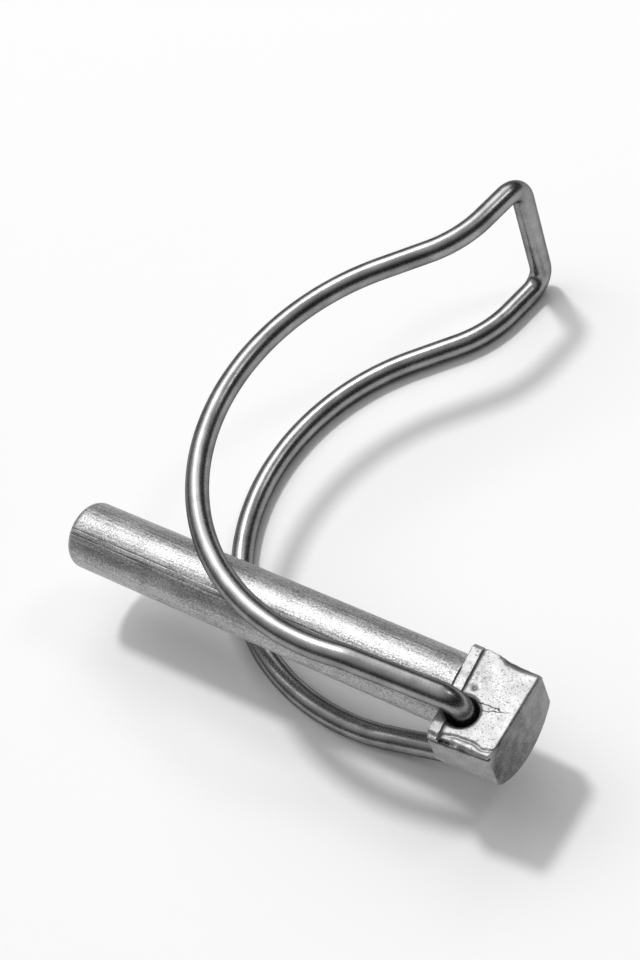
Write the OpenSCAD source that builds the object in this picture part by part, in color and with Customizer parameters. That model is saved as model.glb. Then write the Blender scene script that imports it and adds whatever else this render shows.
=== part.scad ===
// Wire lock pin: a round steel pin with a pressed flat head, and a bail of bent
// spring wire whose two ends turn in a cross-hole through the head.
// Millimetres. +Z is up and the part lies on z = 0. The head is at +X, the tip
// at -X, and the loop of the bail reaches out on the +Y side.

/* [Pin shank] */
// Diameter of the round shank
shank_d = 9.5; // [8:0.1:11]
// Length of the shank from the shoulder to the tip
shank_len = 62; // [50:0.5:70]
// Radius of the rounded edge at the tip
tip_r = 1.3; // [0.5:0.1:2.5]
// Length of the slight taper from the shank to the shoulder
neck_len = 2; // [1:0.1:4]
// Amount by which the radius is smaller at the shoulder
neck_drop = 0.3; // [0.2:0.05:0.4]

/* [Pressed head] */
// Length of the head from its end to the shoulder
head_len = 8.7; // [8:0.1:11]
// Thickness of the head beyond the shank's diameter
head_extra = 0.1; // [0:0.1:1]
// Depth of the top flat below the top of the shank
flat_drop = 1.15; // [0.8:0.05:1.5]
// Width of the head at its end
head_end_w = 12.6; // [12:0.1:14]
// Width of the head at the shoulder
head_shoulder_w = 13.8; // [12:0.1:15]
// Sideways offset of the head from the shank's axis
head_side = 1.5; // [0.5:0.1:2]
// Amount by which the far end of the shoulder reaches further along the pin
shoulder_skew = 1; // [0:0.1:1.2]
// Radius of the rounded underside across the head
crown_r = 8; // [7.8:0.1:12]
// Height of the low bar at the shoulder above the flat
bar_h = 0.65; // [0.4:0.05:0.7]
// Length of the bar along the pin
bar_len = 1.5; // [1:0.1:2]
// Run of the bar's sloping inner side
bar_slope = 0.4; // [0.2:0.1:0.8]

/* [Cross-hole] */
// Distance from the end of the head to the hole's centre
hole_from_end = 6.4; // [5.5:0.1:6.6]
// Sideways offset of the hole from the shank's axis
hole_side = 3.5; // [3:0.1:4]
// Gap all round between the wire and the hole
hole_clear = 0.5; // [0.2:0.05:0.6]

/* [Bail wire] */
// Diameter of the wire
wire_d = 3.2; // [2.5:0.1:3.6]
// Gap between the two wire ends inside the hole
end_gap = 1; // [0.5:0.1:3]
// Gap under the wire where it swings over the rim of the shank
leg_clear = 0.35; // [0.2:0.05:0.8]

/* [Bail bends] */
// Centreline radius of the bend that comes out of the hole
peg_bend_r = 3; // [2.4:0.1:3.6]
// Angle at which each leg spreads away from the head
splay = 12; // [8:0.5:16]
// Length of the straight lead from the head
lead_len = 12; // [8:0.5:16]
// Centreline radius of the bend that makes the legs parallel
level_r = 10; // [6:0.5:16]
// Angle by which the lead swings away from the shank
lead_swing = 7; // [3:0.5:10]
// Centreline radius of the big C-shaped curve
curve_r = 33; // [28:0.5:38]
// Angle through which the C-shaped curve turns
curve_angle = 141; // [130:1:150]
// Length of the straight after the C-shaped curve
mid_len = 7; // [3:0.5:14]
// Centreline radius of the reverse bend near the loop
reverse_r = 16.5; // [10:0.5:24]
// Angle of the reverse bend near the loop
reverse_angle = 32.5; // [20:0.5:45]
// Length of the straight before the loop's corner
tail_len = 4.7; // [2:0.1:10]
// Centreline radius of the two corners of the loop
corner_r = 3; // [2.2:0.1:5]

/* [Hidden] */
$fn = 96;
tiny = 0.01;
shank_r = shank_d / 2;
wire_r = wire_d / 2;

// Bends are 0.02 mm thinner than the straights, which lap a little way into them
bend_d = wire_d - 0.02;
lap = 0.1;

// Stations along the pin, measured from the hole towards the tip
head_end = -hole_from_end;
shoulder = head_len - hole_from_end;
skew_angle = atan(shoulder_skew / head_shoulder_w);
tip = shoulder + shank_len;

// Heights measured from the shank's axis
flat_z = shank_r - flat_drop;
head_t = shank_d + head_extra;
under_z = flat_z - head_t;
mid_z = flat_z - head_t / 2;

// The bend starts just high enough for the leg to clear the shank's rim
rim_reach = norm([shoulder, hole_side]);
bend_reach = peg_bend_r * (1 - sin(splay));
rim_lift = shank_r - mid_z + leg_clear + wire_r / cos(splay);
bend_start = rim_lift - peg_bend_r * cos(splay) - (rim_reach - bend_reach) * tan(splay);
peg_len = bend_start - end_gap / 2;

// Half the spacing of the two parallel legs
leg_half = bend_start + peg_bend_r * cos(splay) + lead_len * sin(splay)
    + level_r * (1 - cos(splay));

// Plan of one leg, seen from above, with the hole's centre as its start
function ahead(p, dir, len) = p + len * [cos(dir), sin(dir)];
function right_of(dir) = [sin(dir), -cos(dir)];
lead_dir = 180 + lead_swing;
curve_out = lead_dir - curve_angle;
tail_dir = curve_out + reverse_angle;
hole_xy = [0, -hole_side];
lead_reach = bend_reach + lead_len * cos(splay) + level_r * sin(splay);
curve_start = ahead(hole_xy, lead_dir, lead_reach);
curve_mid = curve_start + curve_r * right_of(lead_dir);
curve_end = curve_mid - curve_r * right_of(curve_out);
reverse_start = ahead(curve_end, curve_out, mid_len);
reverse_mid = reverse_start - reverse_r * right_of(curve_out);
reverse_end = reverse_mid + reverse_r * right_of(tail_dir);
loop_xy = ahead(reverse_end, tail_dir, tail_len + corner_r);

// Bounds of the whole part, used to centre it over the floor
x_low = min(-tip, curve_mid[0] - curve_r - wire_r);
x_high = -head_end;
head_near = head_side + max(head_end_w, head_shoulder_w) / 2;
y_low = min(-head_near, curve_mid[1] - curve_r - wire_r);
y_high = loop_xy[1] + wire_r;
lift = leg_half + wire_r - mid_z;
rest_shift = [-(x_low + x_high) / 2, -(y_low + y_high) / 2, lift];

// Solid of the shank, with a rounded edge at the tip and a slight taper to the shoulder
module shank() {
    translate([tiny - shoulder, 0, 0])
    rotate([0, -90, 0])
    rotate_extrude() {
        polygon([
            [0, 0],
            [shank_r - neck_drop, 0],
            [shank_r, neck_len],
            [0, neck_len]
        ]);
        translate([0, neck_len]) square([shank_r, shank_len + tiny - tip_r - neck_len]);
        square([shank_r - tip_r, shank_len + tiny]);
        intersection() {
            translate([shank_r - tip_r, shank_len + tiny - tip_r]) circle(tip_r);
            square([shank_r, shank_len + tiny]);
        }
    }
}

// Plan of the head, a little wider at its skewed shoulder than at the end
module head_plan() {
    end_half = head_end_w / 2;
    shoulder_half = head_shoulder_w / 2;
    polygon([
        [-head_end, -head_side - end_half],
        [-head_end, -head_side + end_half],
        [-shoulder - shoulder_skew, -head_side + shoulder_half],
        [-shoulder, -head_side - shoulder_half]
    ]);
}

// Head block with a flat top and a rounded underside
module head_block() {
    intersection() {
        translate([0, 0, under_z - tiny])
            linear_extrude(flat_z - under_z + tiny) head_plan();
        translate([-shoulder - shoulder_skew - tiny, -head_side, under_z + crown_r])
            rotate([0, 90, 0])
            cylinder(r = crown_r, h = head_len + shoulder_skew + 2 * tiny);
    }
}

// Low bar along the shoulder, with a sloping inner side
module shoulder_bar() {
    across = 2 * head_near;
    intersection() {
        translate([-shoulder, -head_side - head_shoulder_w / 2, 0])
        rotate([0, 0, skew_angle])
        translate([0, across, 0])
        rotate([90, 0, 0])
        linear_extrude(across + 1)
        polygon([
            [-1, flat_z - tiny],
            [bar_len, flat_z - tiny],
            [bar_len, flat_z],
            [bar_len - bar_slope, flat_z + bar_h],
            [-1, flat_z + bar_h]
        ]);
        translate([0, 0, flat_z - 1]) linear_extrude(bar_h + 2) head_plan();
    }
}

module pin() {
    color("silver")
    translate(rest_shift)
    difference() {
        union() {
            shank();
            head_block();
            shoulder_bar();
        }
        translate([hole_xy[0], hole_xy[1], under_z - 1])
            cylinder(d = wire_d + 2 * hole_clear, h = head_t + flat_drop + 2);
    }
}

// Straight wire from a point, heading dir in plan and rising by climb degrees
module straight(xy, z, dir, climb, len) {
    translate([xy[0], xy[1], z])
    rotate([0, 90 - climb, dir])
    translate([0, 0, -lap])
    cylinder(d = wire_d, h = len + 2 * lap);
}

// Bend of the wire in plan, from one angle to the next about a centre
module plan_bend(centre, z, radius, from, angle) {
    translate([centre[0], centre[1], z])
    rotate([0, 0, from])
    rotate_extrude(angle = angle)
    translate([radius, 0]) circle(d = bend_d);
}

// Bend of the wire in the upright plane along dir, about a centre at height z
module upright_bend(xy, z, dir, radius, from, angle) {
    translate([xy[0], xy[1], z])
    rotate([0, 0, dir])
    rotate([90, 0, 0])
    rotate([0, 0, from])
    rotate_extrude(angle = angle)
    translate([radius, 0]) circle(d = bend_d);
}

// Upper leg of the bail, from its end in the hole to the corner of the loop
module leg() {
    lead_z = bend_start + peg_bend_r * cos(splay);
    level_start = bend_reach + lead_len * cos(splay);
    level_mid = ahead(hole_xy, lead_dir, level_start + level_r * sin(splay));
    translate([hole_xy[0], hole_xy[1], end_gap / 2])
        cylinder(d = wire_d, h = peg_len + lap);
    upright_bend(ahead(hole_xy, lead_dir, peg_bend_r), bend_start, lead_dir,
        peg_bend_r, 90 + splay, 90 - splay);
    straight(ahead(hole_xy, lead_dir, bend_reach), lead_z, lead_dir, splay, lead_len);
    upright_bend(level_mid, leg_half - level_r, lead_dir, level_r, 90, splay);
    straight(curve_start, leg_half, lead_dir, 0, 0);
    plan_bend(curve_mid, leg_half, curve_r, curve_out + 90, curve_angle);
    straight(curve_end, leg_half, curve_out, 0, mid_len);
    plan_bend(reverse_mid, leg_half, reverse_r, curve_out - 90, reverse_angle);
    straight(reverse_end, leg_half, tail_dir, 0, tail_len);
    upright_bend(ahead(reverse_end, tail_dir, tail_len), leg_half - corner_r, tail_dir,
        corner_r, 0, 90);
}

module wire_bail() {
    cross_half = leg_half - corner_r + lap;
    color("gainsboro")
    translate(rest_shift)
    translate([0, 0, mid_z]) {
        leg();
        mirror([0, 0, 1]) leg();
        translate([loop_xy[0], loop_xy[1], -cross_half]) cylinder(d = wire_d, h = 2 * cross_half);
    }
}

pin();
wire_bail();
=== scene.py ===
# %% [markdown]
# # Wire lock pin
#
# A round steel pin with a pressed flat head carries a bail of bent spring wire. The
# bail turns on its two ends, which sit in a cross-hole through the head. This script
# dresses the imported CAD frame: it models the wire, the shank and the rough head as
# separate pieces, gives each its metal finish, and sets up a plain white studio.

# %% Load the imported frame
import math

import bpy
from mathutils import Matrix, Vector
from mathutils import noise as lumps


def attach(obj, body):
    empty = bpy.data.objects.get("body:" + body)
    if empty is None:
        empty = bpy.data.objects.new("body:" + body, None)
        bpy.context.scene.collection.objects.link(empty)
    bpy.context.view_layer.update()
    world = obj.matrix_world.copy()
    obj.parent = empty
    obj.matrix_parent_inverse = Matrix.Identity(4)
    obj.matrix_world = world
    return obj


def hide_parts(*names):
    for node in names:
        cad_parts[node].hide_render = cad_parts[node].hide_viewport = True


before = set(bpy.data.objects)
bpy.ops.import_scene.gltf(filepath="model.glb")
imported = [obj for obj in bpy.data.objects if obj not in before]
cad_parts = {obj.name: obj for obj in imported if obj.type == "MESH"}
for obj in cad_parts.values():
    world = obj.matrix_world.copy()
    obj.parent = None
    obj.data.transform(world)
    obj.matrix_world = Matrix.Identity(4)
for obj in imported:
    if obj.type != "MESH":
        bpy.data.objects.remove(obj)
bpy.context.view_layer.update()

# %% [markdown]
# ## Sizes
#
# Lengths are real millimetres turned into metres. They repeat the driving sizes of the
# part, so each piece lands exactly where its solid is. AXIS is the point on the shank's
# axis level with the cross-hole, and the other places are measured from there.

# %% Sizes of the part
MM = 0.001
AXIS = Vector((28.95, -32.0787, 13.0641)) * MM
SHANK_R = 4.75 * MM
SHANK_LEN = 62 * MM
HEAD_LEN = 8.7 * MM
HEAD_THICK = 9.6 * MM
FLAT_DROP = 1.15 * MM
HOLE_FROM_END = 6.4 * MM
HOLE_SIDE = 3.5 * MM
END_X = AXIS.x + HOLE_FROM_END
SHOULDER_X = END_X - HEAD_LEN
TIP_X = SHOULDER_X - SHANK_LEN
FLAT_Z = AXIS.z + SHANK_R - FLAT_DROP
UNDER_Z = FLAT_Z - HEAD_THICK
MID_Z = FLAT_Z - HEAD_THICK / 2
HOLE = Vector((AXIS.x, AXIS.y - HOLE_SIDE, MID_Z))
print("shank axis", [round(v, 4) for v in AXIS], "flat at", round(FLAT_Z, 4))

# %% [markdown]
# ## Working by selection
#
# Blender's operators act on whatever is selected, as they do when you work by hand. The
# pieces could be built from raw lists of points instead, but that would hide how they
# are made. So three small helpers start each step from a clean selection, and settle a
# new piece with its place inside its mesh.


# %% Selection helpers
def clear_selection():
    if bpy.context.object and bpy.context.object.mode != "OBJECT":
        bpy.ops.object.mode_set(mode="OBJECT")
    bpy.ops.object.select_all(action="DESELECT")


def only(obj):
    clear_selection()
    obj.select_set(True)
    bpy.context.view_layer.objects.active = obj


def settle(obj, name):
    """Names a new piece and moves its place into its mesh, so its object sits at the origin."""
    only(obj)
    bpy.ops.object.transform_apply(location=True, rotation=True, scale=True)
    obj.name = name
    obj.data.name = name


clear_selection()

# %% [markdown]
# ## The bent wire
#
# The bail is one round spring wire, bent cold from end to end. It could be a curve with
# a round bevel, but a curve's handles say nothing about the radius of a bend. So it is
# made the way a wire bender makes it: a disc of wire is fed straight by extrude and bent
# by spin, and each bend has its own radius and angle. One half is modelled, from the end
# in the hole to the middle of the loop, and its mirror image completes it.

# %% Sizes of the bends
WIRE_R = 1.6 * MM
PEG_START = 0.5 * MM
PEG_LEN = 4.1162 * MM
PEG_BEND_R = 3 * MM
SPLAY = math.radians(12)
LEAD_LEN = 12 * MM
LEVEL_R = 10 * MM
LEAD_DIR = math.radians(187)
CURVE_R = 33 * MM
CURVE_ANGLE = math.radians(141)
MID_LEN = 7 * MM
REVERSE_R = 16.5 * MM
REVERSE_ANGLE = math.radians(32.5)
TAIL_LEN = 4.7 * MM
CORNER_R = 3 * MM
QUARTER = math.pi / 2
UP = Vector((0, 0, 1))
print("the big curve takes", round(CURVE_R * CURVE_ANGLE, 4), "m of wire")

# %% Bend one half of the wire
WIRE_SIDES = 32
PEG_STEPS = 16
LEVEL_STEPS = 8
CURVE_STEPS = 96
REVERSE_STEPS = 24
CORNER_STEPS = 16


class Bender:
    """Keeps the place and heading of the wire's end while it is fed and bent."""

    def __init__(self, place, heading):
        self.place = place.copy()
        self.heading = heading.normalized()

    def feed(self, length):
        step = self.heading * length
        bpy.ops.mesh.extrude_region_move(TRANSFORM_OT_translate={"value": step})
        self.place += step

    def bend(self, towards, radius, angle, steps):
        towards = towards.normalized()
        centre = self.place + towards * radius
        axis = self.heading.cross(towards)
        bpy.ops.mesh.spin(steps=steps, angle=-angle, center=centre, axis=axis)
        turn = Matrix.Rotation(angle, 3, axis)
        self.place = centre + turn @ (self.place - centre)
        self.heading = turn @ self.heading


start = HOLE + UP * PEG_START
clear_selection()
bpy.ops.mesh.primitive_circle_add(vertices=WIRE_SIDES, radius=WIRE_R, fill_type="NGON",
                                  location=start)
wire = bpy.context.object
settle(wire, "bail_wire")
bpy.ops.object.mode_set(mode="EDIT")
bpy.ops.mesh.select_all(action="SELECT")
lead = Vector((math.cos(LEAD_DIR), math.sin(LEAD_DIR), 0))
end = Bender(start, UP)
end.feed(PEG_LEN)
end.bend(lead, PEG_BEND_R, QUARTER - SPLAY, PEG_STEPS)
end.feed(LEAD_LEN)
downwards = end.heading.cross(UP).cross(end.heading) * -1
end.bend(downwards, LEVEL_R, SPLAY, LEVEL_STEPS)
end.bend(end.heading.cross(UP), CURVE_R, CURVE_ANGLE, CURVE_STEPS)
end.feed(MID_LEN)
end.bend(UP.cross(end.heading), REVERSE_R, REVERSE_ANGLE, REVERSE_STEPS)
end.feed(TAIL_LEN)
end.bend(-UP, CORNER_R, QUARTER, CORNER_STEPS)
end.feed(end.place.z - MID_Z)
bpy.ops.mesh.delete(type="ONLY_FACE")
bpy.ops.object.mode_set(mode="OBJECT")
print("wire half ends at", [round(v, 4) for v in end.place])

# %% Mirror the half and close the wire
MERGE_DISTANCE = 0.02 * MM
WIRE_CREASE = math.radians(40)
only(wire)
bpy.ops.object.mode_set(mode="EDIT")
bpy.ops.mesh.select_all(action="SELECT")
bpy.ops.mesh.duplicate()
bpy.ops.transform.resize(value=(1, 1, -1), center_override=(0, 0, MID_Z))
bpy.ops.mesh.select_all(action="SELECT")
bpy.ops.mesh.remove_doubles(threshold=MERGE_DISTANCE)
bpy.ops.mesh.normals_make_consistent(inside=False)
bpy.ops.object.mode_set(mode="OBJECT")
bpy.ops.object.shade_smooth_by_angle(angle=WIRE_CREASE)
print("wire vertices", len(wire.data.vertices))

# %% [markdown]
# ## The shank
#
# The shank is a round bar with a rounded edge at its tip. It could be a cylinder with a
# bevel, but the taper next to the head would still have to be cut in. So it is turned as
# on a lathe: a ring is drawn out along the axis from the shoulder, widened over the
# slight taper, and closed over the tip in small steps.

# %% Turn the shank
RING_SIDES = 128
TIP_STEPS = 8
NECK_R = 4.45 * MM
NECK_LEN = 2 * MM
ROOT_LEN = 0.1 * MM
TIP_ROUND = 1.3 * MM
AWAY = Vector((-1, 0, 0))


def draw_ring(step, scale, centre):
    """Extrudes the selected ring along the shank and scales its radius."""
    bpy.ops.mesh.extrude_region_move(TRANSFORM_OT_translate={"value": AWAY * step})
    bpy.ops.transform.resize(value=(1, scale, scale), center_override=centre)


clear_selection()
ring_start = Vector((SHOULDER_X + ROOT_LEN, AXIS.y, AXIS.z))
bpy.ops.mesh.primitive_circle_add(vertices=RING_SIDES, radius=NECK_R, fill_type="NGON",
                                  location=ring_start, rotation=(0, QUARTER, 0))
shank = bpy.context.object
settle(shank, "pin_shank")
bpy.ops.object.mode_set(mode="EDIT")
bpy.ops.mesh.select_all(action="SELECT")
draw_ring(ROOT_LEN, 1, ring_start)
draw_ring(NECK_LEN, SHANK_R / NECK_R, ring_start)
draw_ring(SHOULDER_X - NECK_LEN - TIP_X - TIP_ROUND, 1, ring_start)
radius = SHANK_R
for i in range(1, TIP_STEPS + 1):
    before = QUARTER * (i - 1) / TIP_STEPS
    after = QUARTER * i / TIP_STEPS
    new_radius = SHANK_R - TIP_ROUND * (1 - math.cos(after))
    draw_ring(TIP_ROUND * (math.sin(after) - math.sin(before)), new_radius / radius, ring_start)
    radius = new_radius
bpy.ops.mesh.select_all(action="SELECT")
bpy.ops.mesh.normals_make_consistent(inside=False)
bpy.ops.object.mode_set(mode="OBJECT")
print("tip face radius", round(radius, 5))

# %% Lean the root with the skewed shoulder
HEAD_MID_Y = AXIS.y - 1.5 * MM
HEAD_SHOULDER_W = 13.8 * MM
HALF_W = HEAD_SHOULDER_W / 2
SKEW = 1 * MM
ROOT_REACH = 0.05 * MM
SHANK_CREASE = math.radians(35)
near_edge = HEAD_MID_Y - HALF_W
for v in shank.data.vertices:
    if v.co.x > SHOULDER_X - ROOT_REACH:
        v.co.x -= SKEW * (v.co.y - near_edge) / HEAD_SHOULDER_W
only(shank)
bpy.ops.object.shade_smooth_by_angle(angle=SHANK_CREASE)
print("shank vertices", len(shank.data.vertices))

# %% [markdown]
# ## The pressed head
#
# The head is the end of the bar, pressed flat on top and round below, with a low bar
# left standing at the shoulder. It could be lofted in one go, but the hole and the bar
# would pull such a surface out of shape. So it starts as a block, tapered in plan and
# skewed at the shoulder, and booleans give it the underside, the bar and the cross-hole.

# %% Block with a rounded underside
HEAD_END_W = 12.6 * MM
CROWN_R = 8 * MM
ROD_SIDES = 96
CUT_LEN = 30 * MM
NEAR_BY = 0.1 * MM


def block(low, high, name):
    """Box between two corners, as a mesh object at the origin."""
    clear_selection()
    middle = (Vector(low) + Vector(high)) / 2
    bpy.ops.mesh.primitive_cube_add(size=1, location=middle)
    made = bpy.context.object
    made.scale = Vector(high) - Vector(low)
    settle(made, name)
    return made


def rod(middle, radius, along_x, name):
    """Long round bar along X or Z, for a boolean."""
    clear_selection()
    turn = (0, QUARTER, 0) if along_x else (0, 0, 0)
    bpy.ops.mesh.primitive_cylinder_add(vertices=ROD_SIDES, radius=radius, depth=CUT_LEN,
                                        location=middle, rotation=turn)
    settle(bpy.context.object, name)
    return bpy.context.object


def boolean(target, tool, operation):
    """Applies one boolean and removes its tool."""
    only(target)
    made = target.modifiers.new("cut", "BOOLEAN")
    made.operation = operation
    made.object = tool
    made.solver = "EXACT"
    bpy.ops.object.modifier_apply(modifier=made.name)
    bpy.data.objects.remove(tool)


def pick(obj, test):
    """Selects the vertices that pass the test, in edit mode."""
    only(obj)
    bpy.ops.object.mode_set(mode="EDIT")
    bpy.ops.mesh.select_mode(type="VERT")
    bpy.ops.mesh.select_all(action="DESELECT")
    bpy.ops.object.mode_set(mode="OBJECT")
    for v in obj.data.vertices:
        v.select = test(v.co)
    bpy.ops.object.mode_set(mode="EDIT")


head = block((SHOULDER_X, HEAD_MID_Y - HALF_W, UNDER_Z), (END_X, HEAD_MID_Y + HALF_W, FLAT_Z),
             "pin_head")
pick(head, lambda co: co.x > END_X - NEAR_BY)
bpy.ops.transform.resize(value=(1, HEAD_END_W / HEAD_SHOULDER_W, 1),
                         center_override=(END_X, HEAD_MID_Y, 0))
pick(head, lambda co: co.x < SHOULDER_X + NEAR_BY and co.y > HEAD_MID_Y)
bpy.ops.transform.translate(value=(-SKEW, 0, 0))
bpy.ops.object.mode_set(mode="OBJECT")
crown_middle = ((SHOULDER_X + END_X) / 2, HEAD_MID_Y, UNDER_Z + CROWN_R)
boolean(head, rod(crown_middle, CROWN_R, True, "crown"), "INTERSECT")
print("head block faces", len(head.data.polygons))

# %% Bar at the shoulder, and the cross-hole
BAR_H = 0.65 * MM
BAR_LEN = 1.7 * MM
BAR_INSET = 0.1 * MM
BAR_SINK = 0.5 * MM
BAR_LEAN = 0.2 * MM
HOLE_R = 2.1 * MM
bar_near = HEAD_MID_Y - HALF_W + BAR_INSET
bar_far = HEAD_MID_Y + HALF_W - BAR_INSET
bar = block((SHOULDER_X, bar_near, FLAT_Z - BAR_SINK),
            (SHOULDER_X + BAR_LEN, bar_far, FLAT_Z + BAR_H), "bar")
pick(bar, lambda co: co.x > SHOULDER_X + BAR_LEN / 2 and co.z > FLAT_Z)
bpy.ops.transform.translate(value=(-BAR_LEAN, 0, 0))
pick(bar, lambda co: co.y > HEAD_MID_Y)
bpy.ops.transform.translate(value=(-SKEW, 0, 0))
bpy.ops.object.mode_set(mode="OBJECT")
boolean(head, bar, "UNION")
boolean(head, rod(HOLE, HOLE_R, False, "hole"), "DIFFERENCE")
print("head faces with bar and hole", len(head.data.polygons))

# %% [markdown]
# ## Corner facet and skin
#
# The near top corner of the head's end is sheared off, and no edge of a pressed piece is
# sharp. Bevels could soften the edges, but booleans leave long thin faces that bevel
# badly. So a bisect takes off the corner, a voxel remesh lays an even skin of small
# faces over the head, and a smooth modifier rounds every edge a little.

# %% Cut the corner facet
FACET_ACROSS = Vector((0, 2.4, 0)) * MM
FACET_ALONG = Vector((-0.45, 0, 0)) * MM
FACET_DOWN = Vector((0, 0.1, -5)) * MM
only(head)
bpy.ops.object.mode_set(mode="EDIT")
bpy.ops.mesh.select_all(action="SELECT")
corner = Vector((END_X, HEAD_MID_Y - HEAD_END_W / 2, FLAT_Z))
facing = (FACET_ALONG - FACET_ACROSS).cross(FACET_DOWN - FACET_ACROSS).normalized()
if facing.x < 0:
    facing = -facing
bpy.ops.mesh.bisect(plane_co=corner + FACET_ACROSS, plane_no=facing, clear_outer=True,
                    use_fill=True)
bpy.ops.object.mode_set(mode="OBJECT")
print("facet faces", [round(v, 2) for v in facing])

# %% Lay an even skin over the head
SKIN_SIZE = 0.11 * MM
RELAX_FACTOR = 0.5
RELAX_ROUNDS = 3
skin = head.modifiers.new("skin", "REMESH")
skin.mode = "VOXEL"
skin.voxel_size = SKIN_SIZE
bpy.ops.object.modifier_apply(modifier=skin.name)
relax = head.modifiers.new("relax", "SMOOTH")
relax.factor = RELAX_FACTOR
relax.iterations = RELAX_ROUNDS
bpy.ops.object.modifier_apply(modifier=relax.name)
print("head vertices", len(head.data.vertices))

# %% [markdown]
# ## Marks of the press
#
# The press has left a wavy bevel along the head's far edge, a groove and a rolled rim
# along its near edge, a worn bar, a pit, and soft edges at the hole and the end. They
# could be sculpted, but a brush stroke can't be written down and changed later. So each
# mark is a short rule: it gives a change in height, in mm, at a distance along from the
# head's end and a place across from its middle. The rules are added up over the skin.

# %% Marks along the two long edges
# Lines run from the end to the shoulder as (distance along, place across) in mm
FAR_LINE = ((0, 5.6), (3, 5.4), (4.5, 5.5), (5.5, 6), (6.5, 6.7))
GROOVE_LINE = ((0, -4.9), (0.7, -5.3), (1.6, -5.5), (3, -5.2), (5, -5.3), (6.6, -5.6), (7.4, -6))


def ease(value):
    """Smooth step from 0 to 1."""
    value = min(max(value, 0), 1)
    return value * value * (3 - 2 * value)


def follow(line, along):
    """Place across of a line at a distance from the end."""
    for (near, first), (far, second) in zip(line, line[1:]):
        if along <= far:
            return first + (second - first) * ease((along - near) / (far - near))
    return line[-1][1]


def far_bevel(along, across):
    """Wavy bevel on the far edge, which fades out before the bar."""
    depth = 0.75
    run = 1.3
    stop = 6.4
    fade = 0.8
    return -depth * ease((across - follow(FAR_LINE, along)) / run) * ease((stop - along) / fade)


def near_groove(along, across, rough):
    """Thin groove of uneven depth on the near edge."""
    depth = 0.24
    uneven_depth = 0.16
    half_width = 0.2
    stop = 7.6
    fade = 0.6
    beside = across - follow(GROOVE_LINE, along)
    profile = math.exp(-(beside / half_width) ** 2)
    return -(depth + uneven_depth * rough) * profile * ease((stop - along) / fade)


def rolled_rim(along, across, rough):
    """Rim rolled over outside the groove, with a hollow in it beside the hole."""
    depth = 0.4
    uneven_depth = 0.3
    line = -5.95
    run = 0.55
    rim = -(depth + uneven_depth * rough) * ease((line - across) / run)
    hollow_depth = 0.2
    hollow_line = -5.5
    hollow_run = 0.4
    hollow_start = 5.2
    start_fade = 0.8
    hollow_stop = 7.4
    stop_fade = 0.5
    length = ease((along - hollow_start) / start_fade) * ease((hollow_stop - along) / stop_fade)
    return rim - hollow_depth * length * ease((hollow_line - across) / hollow_run)


print("far bevel is", round(-far_bevel(0, HEAD_END_W / MM / 2), 2), "mm deep at the end's corner")


# %% Marks at the bar, the hole and the end
PIT_ALONG = 6.6
PIT_ACROSS = 1.35


def worn_bar(along, across, uneven):
    """Wear of the skewed bar, and its rounded far end."""
    depth = 0.2
    uneven_depth = 0.12
    foot_gap = 0.05
    foot = (HEAD_LEN - BAR_LEN) / MM + foot_gap
    run = 0.25
    skew = (across * MM + HALF_W) / HEAD_SHOULDER_W * SKEW / MM
    wear = -(depth + uneven_depth * uneven) * ease((along - foot - skew) / run)
    end_depth = 0.4
    end_line = 6.1
    end_run = 0.7
    end_start = 7.8
    end_fade = 0.4
    return wear - end_depth * ease((across - end_line) / end_run) * ease((along - end_start) / end_fade)


def small_pit(along, across):
    """Round pit beside the hole."""
    depth = 0.16
    spread = 0.12
    return -depth * math.exp(-((along - PIT_ALONG) ** 2 + (across - PIT_ACROSS) ** 2) / spread)


def soft_edges(along, across):
    """Soft edges round the hole and along the end."""
    hole_depth = 0.22
    hole_reach = 2.6
    hole_run = 0.5
    from_hole = math.hypot(along - HOLE_FROM_END / MM, across - (HOLE.y - HEAD_MID_Y) / MM)
    end_depth = 0.2
    end_run = 0.3
    return (-hole_depth * ease((hole_reach - from_hole) / hole_run)
            - end_depth * ease((end_run - along) / end_run))


# Two noises with their own pace per mm, taken from two layers so that they don't match
UNEVEN_PACE = 0.8
UNEVEN_LAYER = 0
ROUGH_PACE = 1.7
ROUGH_LAYER = 5


def pressed(along, across):
    """Change in height of the top in mm, from all the marks together."""
    uneven = lumps.noise(Vector((along, across, UNEVEN_LAYER)) * UNEVEN_PACE)
    rough = lumps.noise(Vector((along, across, ROUGH_LAYER)) * ROUGH_PACE)
    edges = far_bevel(along, across) + near_groove(along, across, rough)
    edges += rolled_rim(along, across, rough)
    return edges + worn_bar(along, across, uneven) + small_pit(along, across) + soft_edges(along, across)


print("pit is", round(-small_pit(PIT_ALONG, PIT_ACROSS), 2), "mm deep")


# %% Press the marks into the skin
def tucked(along, across, height):
    """Sideways move of the near face in mm, which draws a line under the rolled rim."""
    depth = 0.3
    half_width = 0.16
    level = -0.62
    sway = 0.12 * math.sin(along * 1.3)
    dip = 0.15 * ease((along - 5) / 2)
    waver = 0.15 * lumps.noise(Vector((along * 1.5, 0, 9)))
    line = level + sway - dip + waver
    near_line = -5.8
    near_run = 0.3
    on_near_face = ease((near_line - across) / near_run)
    return depth * math.exp(-((height - line) / half_width) ** 2) * on_near_face


# The skin is drawn in by about the height of its waves, so they hardly rise above the solid
DRAWN_IN = 0.03
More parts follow.
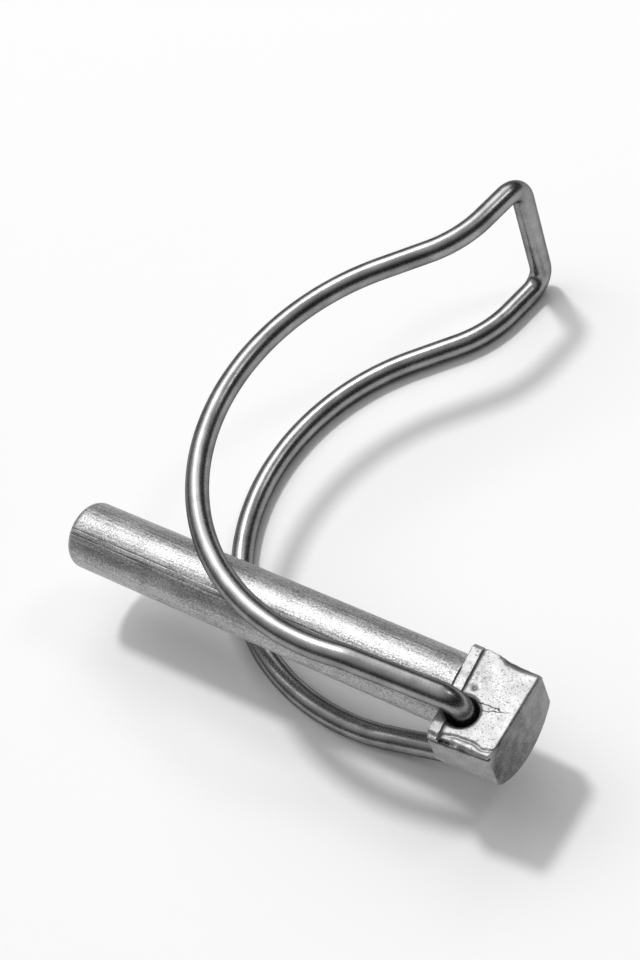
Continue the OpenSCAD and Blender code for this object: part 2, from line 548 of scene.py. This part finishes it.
# Each wave has a pace per mm and a height in mm
WAVES = ((0.5, 0.03), (1.3, 0.012))
TOP_DEPTH = 1.3
TOP_FADE = 1.1
normals = [v.normal.copy() for v in head.data.vertices]
for v, normal in zip(head.data.vertices, normals):
    spot = v.co / MM
    wave = sum(lumps.noise(spot * pace) * high for pace, high in WAVES)
    place = v.co - normal * (DRAWN_IN + wave) * MM
    along = (END_X - place.x) / MM
    across = (place.y - HEAD_MID_Y) / MM
    height = (place.z - FLAT_Z) / MM
    drop = pressed(along, across) * ease((height + TOP_DEPTH) / TOP_FADE)
    v.co = place + Vector((0, tucked(along, across, height), drop)) * MM
only(head)
bpy.ops.object.shade_smooth()
print("head box", [round(c, 4) for c in head.bound_box[0]], [round(c, 4) for c in head.bound_box[6]])

# %% [markdown]
# ## The wire's finish
#
# Spring wire is drawn through a die and left bare, so it is smooth, shiny and a little
# cloudy. A single grey with one gloss would look like plastic. So the colour drifts in
# clouds of about 3 mm and the gloss in fine grain, and metal's own reflections do the
# rest. One function adds every shader node here, with its settings and links.


# %% Wire finish
def colour(hex_text):
    """Linear colour of an sRGB hex colour."""
    parts = [int(hex_text[i:i + 2], 16) / 255 for i in (1, 3, 5)]
    linear = [c / 12.92 if c <= 0.04045 else ((c + 0.055) / 1.055) ** 2.4 for c in parts]
    return (*linear, 1.0)


def add(tree, kind, *values, **named):
    """Adds one shader node. Values fill its inputs in order, and capital names fill them by name.

    Names in small letters are settings. A node given as a value stands for its first output.
    """
    node = tree.nodes.new("ShaderNode" + kind)
    for key, value in named.items():
        if key[0].islower():
            setattr(node, key, value)
    fills = list(zip(node.inputs, values))
    for key, value in named.items():
        if key[0].isupper():
            fills.append((node.inputs[key.replace("_", " ")], value))
    for socket, value in fills:
        if isinstance(value, bpy.types.Node):
            value = next(output for output in value.outputs if output.enabled)
        if isinstance(value, bpy.types.NodeSocket):
            tree.links.new(value, socket)
        else:
            socket.default_value = value
    return node


def new_material(name):
    """Empty material and its node tree."""
    made = bpy.data.materials.new(name)
    made.use_nodes = True
    made.node_tree.nodes.clear()
    return made, made.node_tree


def scale_of(size_mm):
    """Scale of a noise whose blotches are about this many mm across."""
    return 1 / (size_mm * MM)


# Drawn spring steel wire: smooth and shiny, with faint cloudy wear
wire_steel, tree = new_material("drawn_spring_steel_wire")
place = add(tree, "TexCoord").outputs["Object"]
cloud = add(tree, "TexNoise", Vector=place, Scale=scale_of(3), Detail=3)
fine = add(tree, "TexNoise", Vector=place, Scale=scale_of(0.2), Detail=2)
wear = add(tree, "MapRange", cloud, 0.3, 0.7, 0, 1)
steel = add(tree, "Mix", data_type="RGBA", Factor=wear, A=colour("#868686"), B=colour("#A4A4A4"))
gloss = add(tree, "MapRange", fine, 0.3, 0.7, 0.24, 0.36)
grain = add(tree, "Bump", Height=fine, Strength=0.15, Distance=0.03 * MM)
surface = add(tree, "BsdfPrincipled", Base_Color=steel, Metallic=1.0, Roughness=gloss,
              Specular_Tint=colour("#9A9A9A"), Normal=grain)
add(tree, "OutputMaterial", Surface=surface)
print(wire_steel.name, "has", len(tree.nodes), "nodes")

# %% [markdown]
# ## The shank's finish
#
# The bar was drawn through a die, which scores it along its length, and then plated with
# zinc. Brushed metal could be faked with anisotropy alone, but the photo shows separate
# streaks and specks. So a noise is stretched along the bar for the streaks, a fine one
# gives the specks, and two broken die lines run along the top as masks.


# %% Shank finish
# Share of a line's half width that is fully dark
LINE_CORE = 0.3


def die_line(tree, place, angle, width):
    """Mask of a broken line along the shank, at an angle round its axis, width in mm."""
    spot = add(tree, "SeparateXYZ", place)
    beside = add(tree, "Math", spot.outputs["Y"], AXIS.y, operation="SUBTRACT")
    above = add(tree, "Math", spot.outputs["Z"], AXIS.z, operation="SUBTRACT")
    turn = add(tree, "Math", above, beside, operation="ARCTAN2")
    off_line = add(tree, "Math", turn, math.radians(angle), operation="SUBTRACT")
    away = add(tree, "Math", off_line, operation="ABSOLUTE")
    reach = width * MM / SHANK_R
    line = add(tree, "MapRange", away, LINE_CORE * reach, reach, 1, 0)
    patchy = add(tree, "TexNoise", Vector=place, Scale=scale_of(3), Detail=3)
    breaks = add(tree, "MapRange", patchy, 0.35, 0.6, 0.3, 1)
    return add(tree, "Math", line, breaks, operation="MULTIPLY")


# Zinc-plated steel bar: grey specks and streaks along the bar, and a soft long highlight.
# Zinc crystals are too fine to show, so the specks are drawn coarser, at about 0.24 mm.
shank_zinc, tree = new_material("zinc_plated_steel_bar")
place = add(tree, "TexCoord").outputs["Object"]
STREAK_LENGTH = 25
drawn_out = add(tree, "Mapping", Vector=place, Scale=(1 / STREAK_LENGTH, 1, 1))
speckle = add(tree, "TexNoise", Vector=place, Scale=scale_of(0.24), Detail=2)
streak = add(tree, "TexNoise", Vector=drawn_out, Scale=scale_of(0.3), Detail=3)
patch = add(tree, "TexNoise", Vector=place, Scale=scale_of(4), Detail=3)
patches = add(tree, "Math", patch, 0.15, operation="MULTIPLY")
streaks = add(tree, "Math", streak, 0.3, patches, operation="MULTIPLY_ADD")
mottle = add(tree, "Math", speckle, 0.55, streaks, operation="MULTIPLY_ADD")
tone = add(tree, "MapRange", mottle, 0.38, 0.62, 0, 1)
zinc = add(tree, "Mix", data_type="RGBA", Factor=tone, A=colour("#7C7C7C"), B=colour("#CCCCCC"))
# The die lines are grooves cut in by the bump below, and their dark colour is painted shade in the
# grooves
upper_line = die_line(tree, place, 114, 0.14)
lower_line = die_line(tree, place, 123, 0.18)
lines = add(tree, "Math", upper_line, lower_line, operation="MAXIMUM")
dark = add(tree, "Math", lines, 0.6, operation="MULTIPLY")
zinc_with_groove_shade = add(tree, "Mix", data_type="RGBA", Factor=dark, A=zinc, B=colour("#3C3C3C"))
gloss = add(tree, "MapRange", streak, 0.25, 0.75, 0.4, 0.56)
grain = add(tree, "Bump", Height=speckle, Strength=0.55, Distance=0.06 * MM)
scored = add(tree, "Math", streak, lines, operation="SUBTRACT")
scores = add(tree, "Bump", Height=scored, Strength=0.5, Distance=0.06 * MM, Normal=grain)
surface = add(tree, "BsdfPrincipled", Base_Color=zinc_with_groove_shade, Metallic=1.0, Roughness=gloss,
              Normal=scores)
add(tree, "OutputMaterial", Surface=surface)
print(shank_zinc.name, "has", len(tree.nodes), "nodes")

# %% [markdown]
# ## The head's finish
#
# The head was pressed and plated, so it is pale and dull, with pores, two thin cracks
# that start at the hole, darker spots in a pit and by the bar, and painted shade on the
# far bevel, under the near rim and on the sheared end. Painted pictures could show all
# this, but they would have to be unwrapped and stored. So each mark is a mask from the
# place on the piece in millimetres, and the masks darken one base colour.

# %% Head finish, its base colour and pores
# Zinc-plated pressed steel: pale, dull and porous, so it reads as a matt flat
head_zinc, tree = new_material("zinc_plated_pressed_steel")
place = add(tree, "TexCoord").outputs["Object"]
speckle = add(tree, "TexNoise", Vector=place, Scale=scale_of(0.24), Detail=3)
patch = add(tree, "TexNoise", Vector=place, Scale=scale_of(1.8), Detail=4)
patches = add(tree, "Math", patch, 0.4, operation="MULTIPLY")
mottle = add(tree, "Math", speckle, 0.6, patches, operation="MULTIPLY_ADD")
tone = add(tree, "MapRange", mottle, 0.38, 0.62, 0, 1)
pale = add(tree, "Mix", data_type="RGBA", Factor=tone, A=colour("#979797"), B=colour("#BFBFBF"))
pore_noise = add(tree, "TexNoise", Vector=place, Scale=scale_of(0.24), Detail=2)
pores = add(tree, "MapRange", pore_noise, 0.58, 0.68, 0, 0.6)
print(head_zinc.name, "starts with", len(tree.nodes), "nodes")


# %% Cracks and dark spots on the head's flat
def on_flat(along, across, up=0):
    """Point on the flat, in mm from the middle of its end."""
    return Vector((END_X, HEAD_MID_Y, FLAT_Z)) + Vector((-along, across, up)) * MM


def crack(tree, place, start, end, width):
    """Mask of a thin crooked crack along the flat, between two points, width in mm."""
    run = end - start
    turned = add(tree, "Mapping", Vector=place, Location=start, vector_type="TEXTURE",
                 Rotation=(0, 0, math.atan2(run.y, run.x)))
    spot = add(tree, "SeparateXYZ", turned)
    crooked = add(tree, "TexNoise", Vector=place, Scale=scale_of(0.9), Detail=3)
    wander = add(tree, "MapRange", crooked, 0, 1, -0.5 * MM, 0.5 * MM)
    shifted = add(tree, "Math", spot.outputs["Y"], wander, operation="ADD")
    beside = add(tree, "Math", shifted, operation="ABSOLUTE")
    reach = width * MM
    mask = add(tree, "MapRange", beside, LINE_CORE * reach, reach, 1, 0)
    opening = add(tree, "MapRange", spot.outputs["X"], 0, 0.2 * MM, 0, 1)
    closing = add(tree, "MapRange", spot.outputs["X"], run.length - 0.8 * MM, run.length, 1, 0)
    on_top = add(tree, "MapRange", spot.outputs["Z"], -0.6 * MM, -0.5 * MM, 0, 1)
    for limit in (opening, closing, on_top):
        mask = add(tree, "Math", mask, limit, operation="MULTIPLY")
    return mask


def round_mask(tree, place, centre, size):
    """Mask that is 1 in a round spot and fades out at its edge, size in mm."""
    away = add(tree, "VectorMath", place, centre, operation="DISTANCE")
    reach = size * MM
    core = 0.4 * reach
    return add(tree, "MapRange", away, core, reach, 1, 0)


long_crack = crack(tree, place, on_flat(5.4, -0.2), on_flat(1.5, 0.05), 0.1)
thin_crack = crack(tree, place, on_flat(4.6, -1.2), on_flat(0.7, 0.35), 0.07)
cracks = add(tree, "Math", long_crack, thin_crack, operation="MAXIMUM")
# The pit and the corner at the foot of the bar are made darker, in patches by the bar
in_pit = round_mask(tree, place, on_flat(PIT_ALONG, PIT_ACROSS, -0.1), 0.6)
dark_in_pit = add(tree, "Math", in_pit, 0.6, operation="MULTIPLY")
bar_spot_noise = add(tree, "TexNoise", Vector=place, Scale=scale_of(0.5), Detail=3)
patchy = add(tree, "MapRange", bar_spot_noise, 0.45, 0.65, 0, 0.5)
by_the_bar = round_mask(tree, place, on_flat(6.9, 2.6), 2.2)
dark_by_bar = add(tree, "Math", by_the_bar, patchy, operation="MULTIPLY")
dark_spots = add(tree, "Math", dark_in_pit, dark_by_bar, operation="MAXIMUM")
print("cracks and dirt make it", len(tree.nodes), "nodes")

# %% Painted shade on the head's edges and sheared end
spot = add(tree, "SeparateXYZ", place)
across = spot.outputs["Y"]
height = spot.outputs["Z"]

# Painted shade on the end face, darker towards its near side and broken into clouds by the mottle
shade = add(tree, "MapRange", across, HEAD_MID_Y - 5 * MM, HEAD_MID_Y + 6 * MM, 0.7, 0.28)
cloudy = add(tree, "MapRange", mottle, 0.4, 0.6, 1.2, 0.7)
cloudy_shade = add(tree, "Math", shade, cloudy, operation="MULTIPLY")
on_end = add(tree, "MapRange", spot.outputs["X"], END_X - 0.4 * MM, END_X - 0.15 * MM, 0, 1)
painted_end_shade = add(tree, "Math", cloudy_shade, on_end, operation="MULTIPLY")

# Painted shade on the bevel of the far edge, where it dips below the flat, but not on the faces beside
# it
painted_bevel_shade = add(tree, "MapRange", across, HEAD_MID_Y + 4.6 * MM, HEAD_MID_Y + 5 * MM, 0, 0.7)
dipped = add(tree, "MapRange", height, FLAT_Z - 0.35 * MM, FLAT_Z - 0.12 * MM, 1, 0)
off_end = add(tree, "Math", 1.0, on_end, operation="SUBTRACT")
off_side = add(tree, "MapRange", height, FLAT_Z - 1.3 * MM, FLAT_Z - 0.9 * MM, 0, 1)
for limit in (dipped, off_end, off_side):
    painted_bevel_shade = add(tree, "Math", painted_bevel_shade, limit, operation="MULTIPLY")

# Painted shade: a dark line under the rolled rim on the near face
near_face = add(tree, "MapRange", across, HEAD_MID_Y - 6 * MM, HEAD_MID_Y - 5.7 * MM, 0.9, 0)
off_level = add(tree, "Math", height, FLAT_Z - 0.68 * MM, operation="SUBTRACT")
off_line = add(tree, "Math", off_level, operation="ABSOLUTE")
rim_line = add(tree, "MapRange", off_line, 0.12 * MM, 0.34 * MM, 1, 0)
painted_rim_shade = add(tree, "Math", near_face, rim_line, operation="MULTIPLY")
print("edges make it", len(tree.nodes), "nodes")

# %% Join the head's marks and painted shade
# The marks hold the cracks, pores and dark spots, and the painted shade of the bevel, the rim and the
# end
marks = cracks
for mask in (pores, dark_spots, painted_bevel_shade, painted_rim_shade, painted_end_shade):
    marks = add(tree, "Math", marks, mask, operation="MAXIMUM")
marked_and_shaded = add(tree, "Mix", data_type="RGBA", Factor=marks, A=pale, B=colour("#3C3C3C"))
gloss = add(tree, "MapRange", speckle, 0.3, 0.7, 0.48, 0.62)
depth = add(tree, "Math", speckle, cracks, operation="SUBTRACT")
grain = add(tree, "Bump", Height=depth, Strength=0.45, Distance=0.06 * MM)
surface = add(tree, "BsdfPrincipled", Base_Color=marked_and_shaded, Metallic=1.0, Roughness=gloss, Normal=grain)
add(tree, "OutputMaterial", Surface=surface)
print(head_zinc.name, "has", len(tree.nodes), "nodes")

# %% [markdown]
# ## Pieces on the frame
#
# The real bail swings on the pin, so the wire rides on the body of the bail. The shank
# and the head are one piece of steel and ride on the pin together. They could be one
# mesh with two materials, but two pieces keep each finish simple to follow.

# %% Give each piece its finish and its body
for piece, finish, body, node, slot in (
    (wire, wire_steel, "bail", "wire_bail", "spring_steel_wire"),
    (shank, shank_zinc, "pin", "pin", "zinc_plated_steel"),
    (head, head_zinc, "pin", "pin", "zinc_plated_steel"),
):
    piece.data.materials.clear()
    piece.data.materials.append(finish)
    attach(piece, body)
    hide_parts(node)
print("finishes", [m.name for m in bpy.data.materials])

# %% [markdown]
# ## White floor
#
# The part lies on white paper that runs out of the picture on every side. A curved
# backdrop would do as well, but the camera looks steeply down and sees no horizon. So
# one large plane is enough.

# %% Floor
FLOOR_SIZE = 16
clear_selection()
bpy.ops.mesh.primitive_plane_add(size=FLOOR_SIZE, location=(0, 0, 0))
floor = bpy.context.object
floor.name = "floor"
white, tree = new_material("white_paper")
surface = add(tree, "BsdfPrincipled", Base_Color=colour("#FCFCFC"), Roughness=0.9)
add(tree, "OutputMaterial", Surface=surface)
floor.data.materials.append(white)
print("floor", [round(v, 1) for v in floor.dimensions])

# %% [markdown]
# ## Studio lamps
#
# Metal shows its lamps as highlights, so their shapes matter as much as their light. One
# big lamp would give one blurred band on the wire. So a key light makes the soft shadow,
# a long softbox beside it lays the second line along the wire, both from the upper left
# of the picture, and a small round kicker at the upper right adds short highlights.

# %% Lamps
MIDDLE = Vector((0, 0, 0.01))


def hang(lamp, from_middle):
    """Puts a lamp in the scene, at a place seen from the middle, and aims it there."""
    holder = bpy.data.objects.new(lamp.name, lamp)
    bpy.context.scene.collection.objects.link(holder)
    holder.location = MIDDLE + from_middle
    holder.rotation_mode = "QUATERNION"
    holder.rotation_quaternion = (-from_middle).to_track_quat("-Z", "Y")


key = bpy.data.lights.new("key", "SUN")
key.energy = 1.25
key.angle = math.radians(7)
hang(key, Vector((-0.38, 0.25, 0.89)))
soft = bpy.data.lights.new("softbox", "AREA")
soft.shape = "RECTANGLE"
soft.size = 1.65
soft.size_y = 0.54
soft.energy = 4.4
hang(soft, Vector((-0.54, 0.42, 0.96)))
kicker = bpy.data.lights.new("kicker", "AREA")
kicker.shape = "DISK"
kicker.size = 0.2
kicker.energy = 0.75
hang(kicker, Vector((0.48, 0.465, 0.81)))
print("lamps", [lamp.name for lamp in bpy.data.lights])

# %% [markdown]
# ## Room
#
# A real studio is pale overhead and dark at the sides, and bright wire mirrors both. An
# even grey world would fill the shadows but leave the metal without dark lines. So the
# world goes from dark at the horizon to pale at a point that leans a little to the left.

# %% Pale ceiling and dark walls
SKY_LEAN = Vector((-0.3, 0, 0.95))
world = bpy.data.worlds.new("room")
bpy.context.scene.world = world
world.use_nodes = True
tree = world.node_tree
tree.nodes.clear()
direction = add(tree, "TexCoord").outputs["Generated"]
facing_sky = add(tree, "VectorMath", direction, SKY_LEAN, operation="DOT_PRODUCT")
paleness = add(tree, "MapRange", facing_sky, 0.42, 0.95, 0, 1)
sky = add(tree, "Mix", data_type="RGBA", Factor=paleness, A=colour("#242424"), B=colour("#E6E6E6"))
light = add(tree, "Background", Color=sky, Strength=1.0)
add(tree, "OutputWorld", Surface=light)
print("room has", len(tree.nodes), "nodes")

# %% [markdown]
# ## Camera
#
# The camera stands where the photographer stood: above the head, looking down along the
# shank. It could be aimed at a target, but that leaves its roll open. So its right and
# forward directions are given, and the third follows from them.

# %% Camera
CAMERA_PLACE = Vector((122.9, -113.89, 216.27)) * MM
CAMERA_RIGHT = Vector((0.8089, 0.5280, -0.2588))
CAMERA_FORWARD = Vector((-0.50125, 0.38901, -0.77293)).normalized()
camera = bpy.data.cameras.new("camera")
camera.sensor_width = 36
camera.lens = 72.54
viewer = bpy.data.objects.new("camera", camera)
bpy.context.scene.collection.objects.link(viewer)
right = (CAMERA_RIGHT - CAMERA_FORWARD * CAMERA_RIGHT.dot(CAMERA_FORWARD)).normalized()
turn = Matrix((right, right.cross(CAMERA_FORWARD), -CAMERA_FORWARD)).transposed()
viewer.matrix_world = Matrix.Translation(CAMERA_PLACE) @ turn.to_4x4()
bpy.context.scene.camera = viewer
bpy.context.scene.view_settings.view_transform = "Standard"
print("camera at", [round(v, 4) for v in viewer.location])
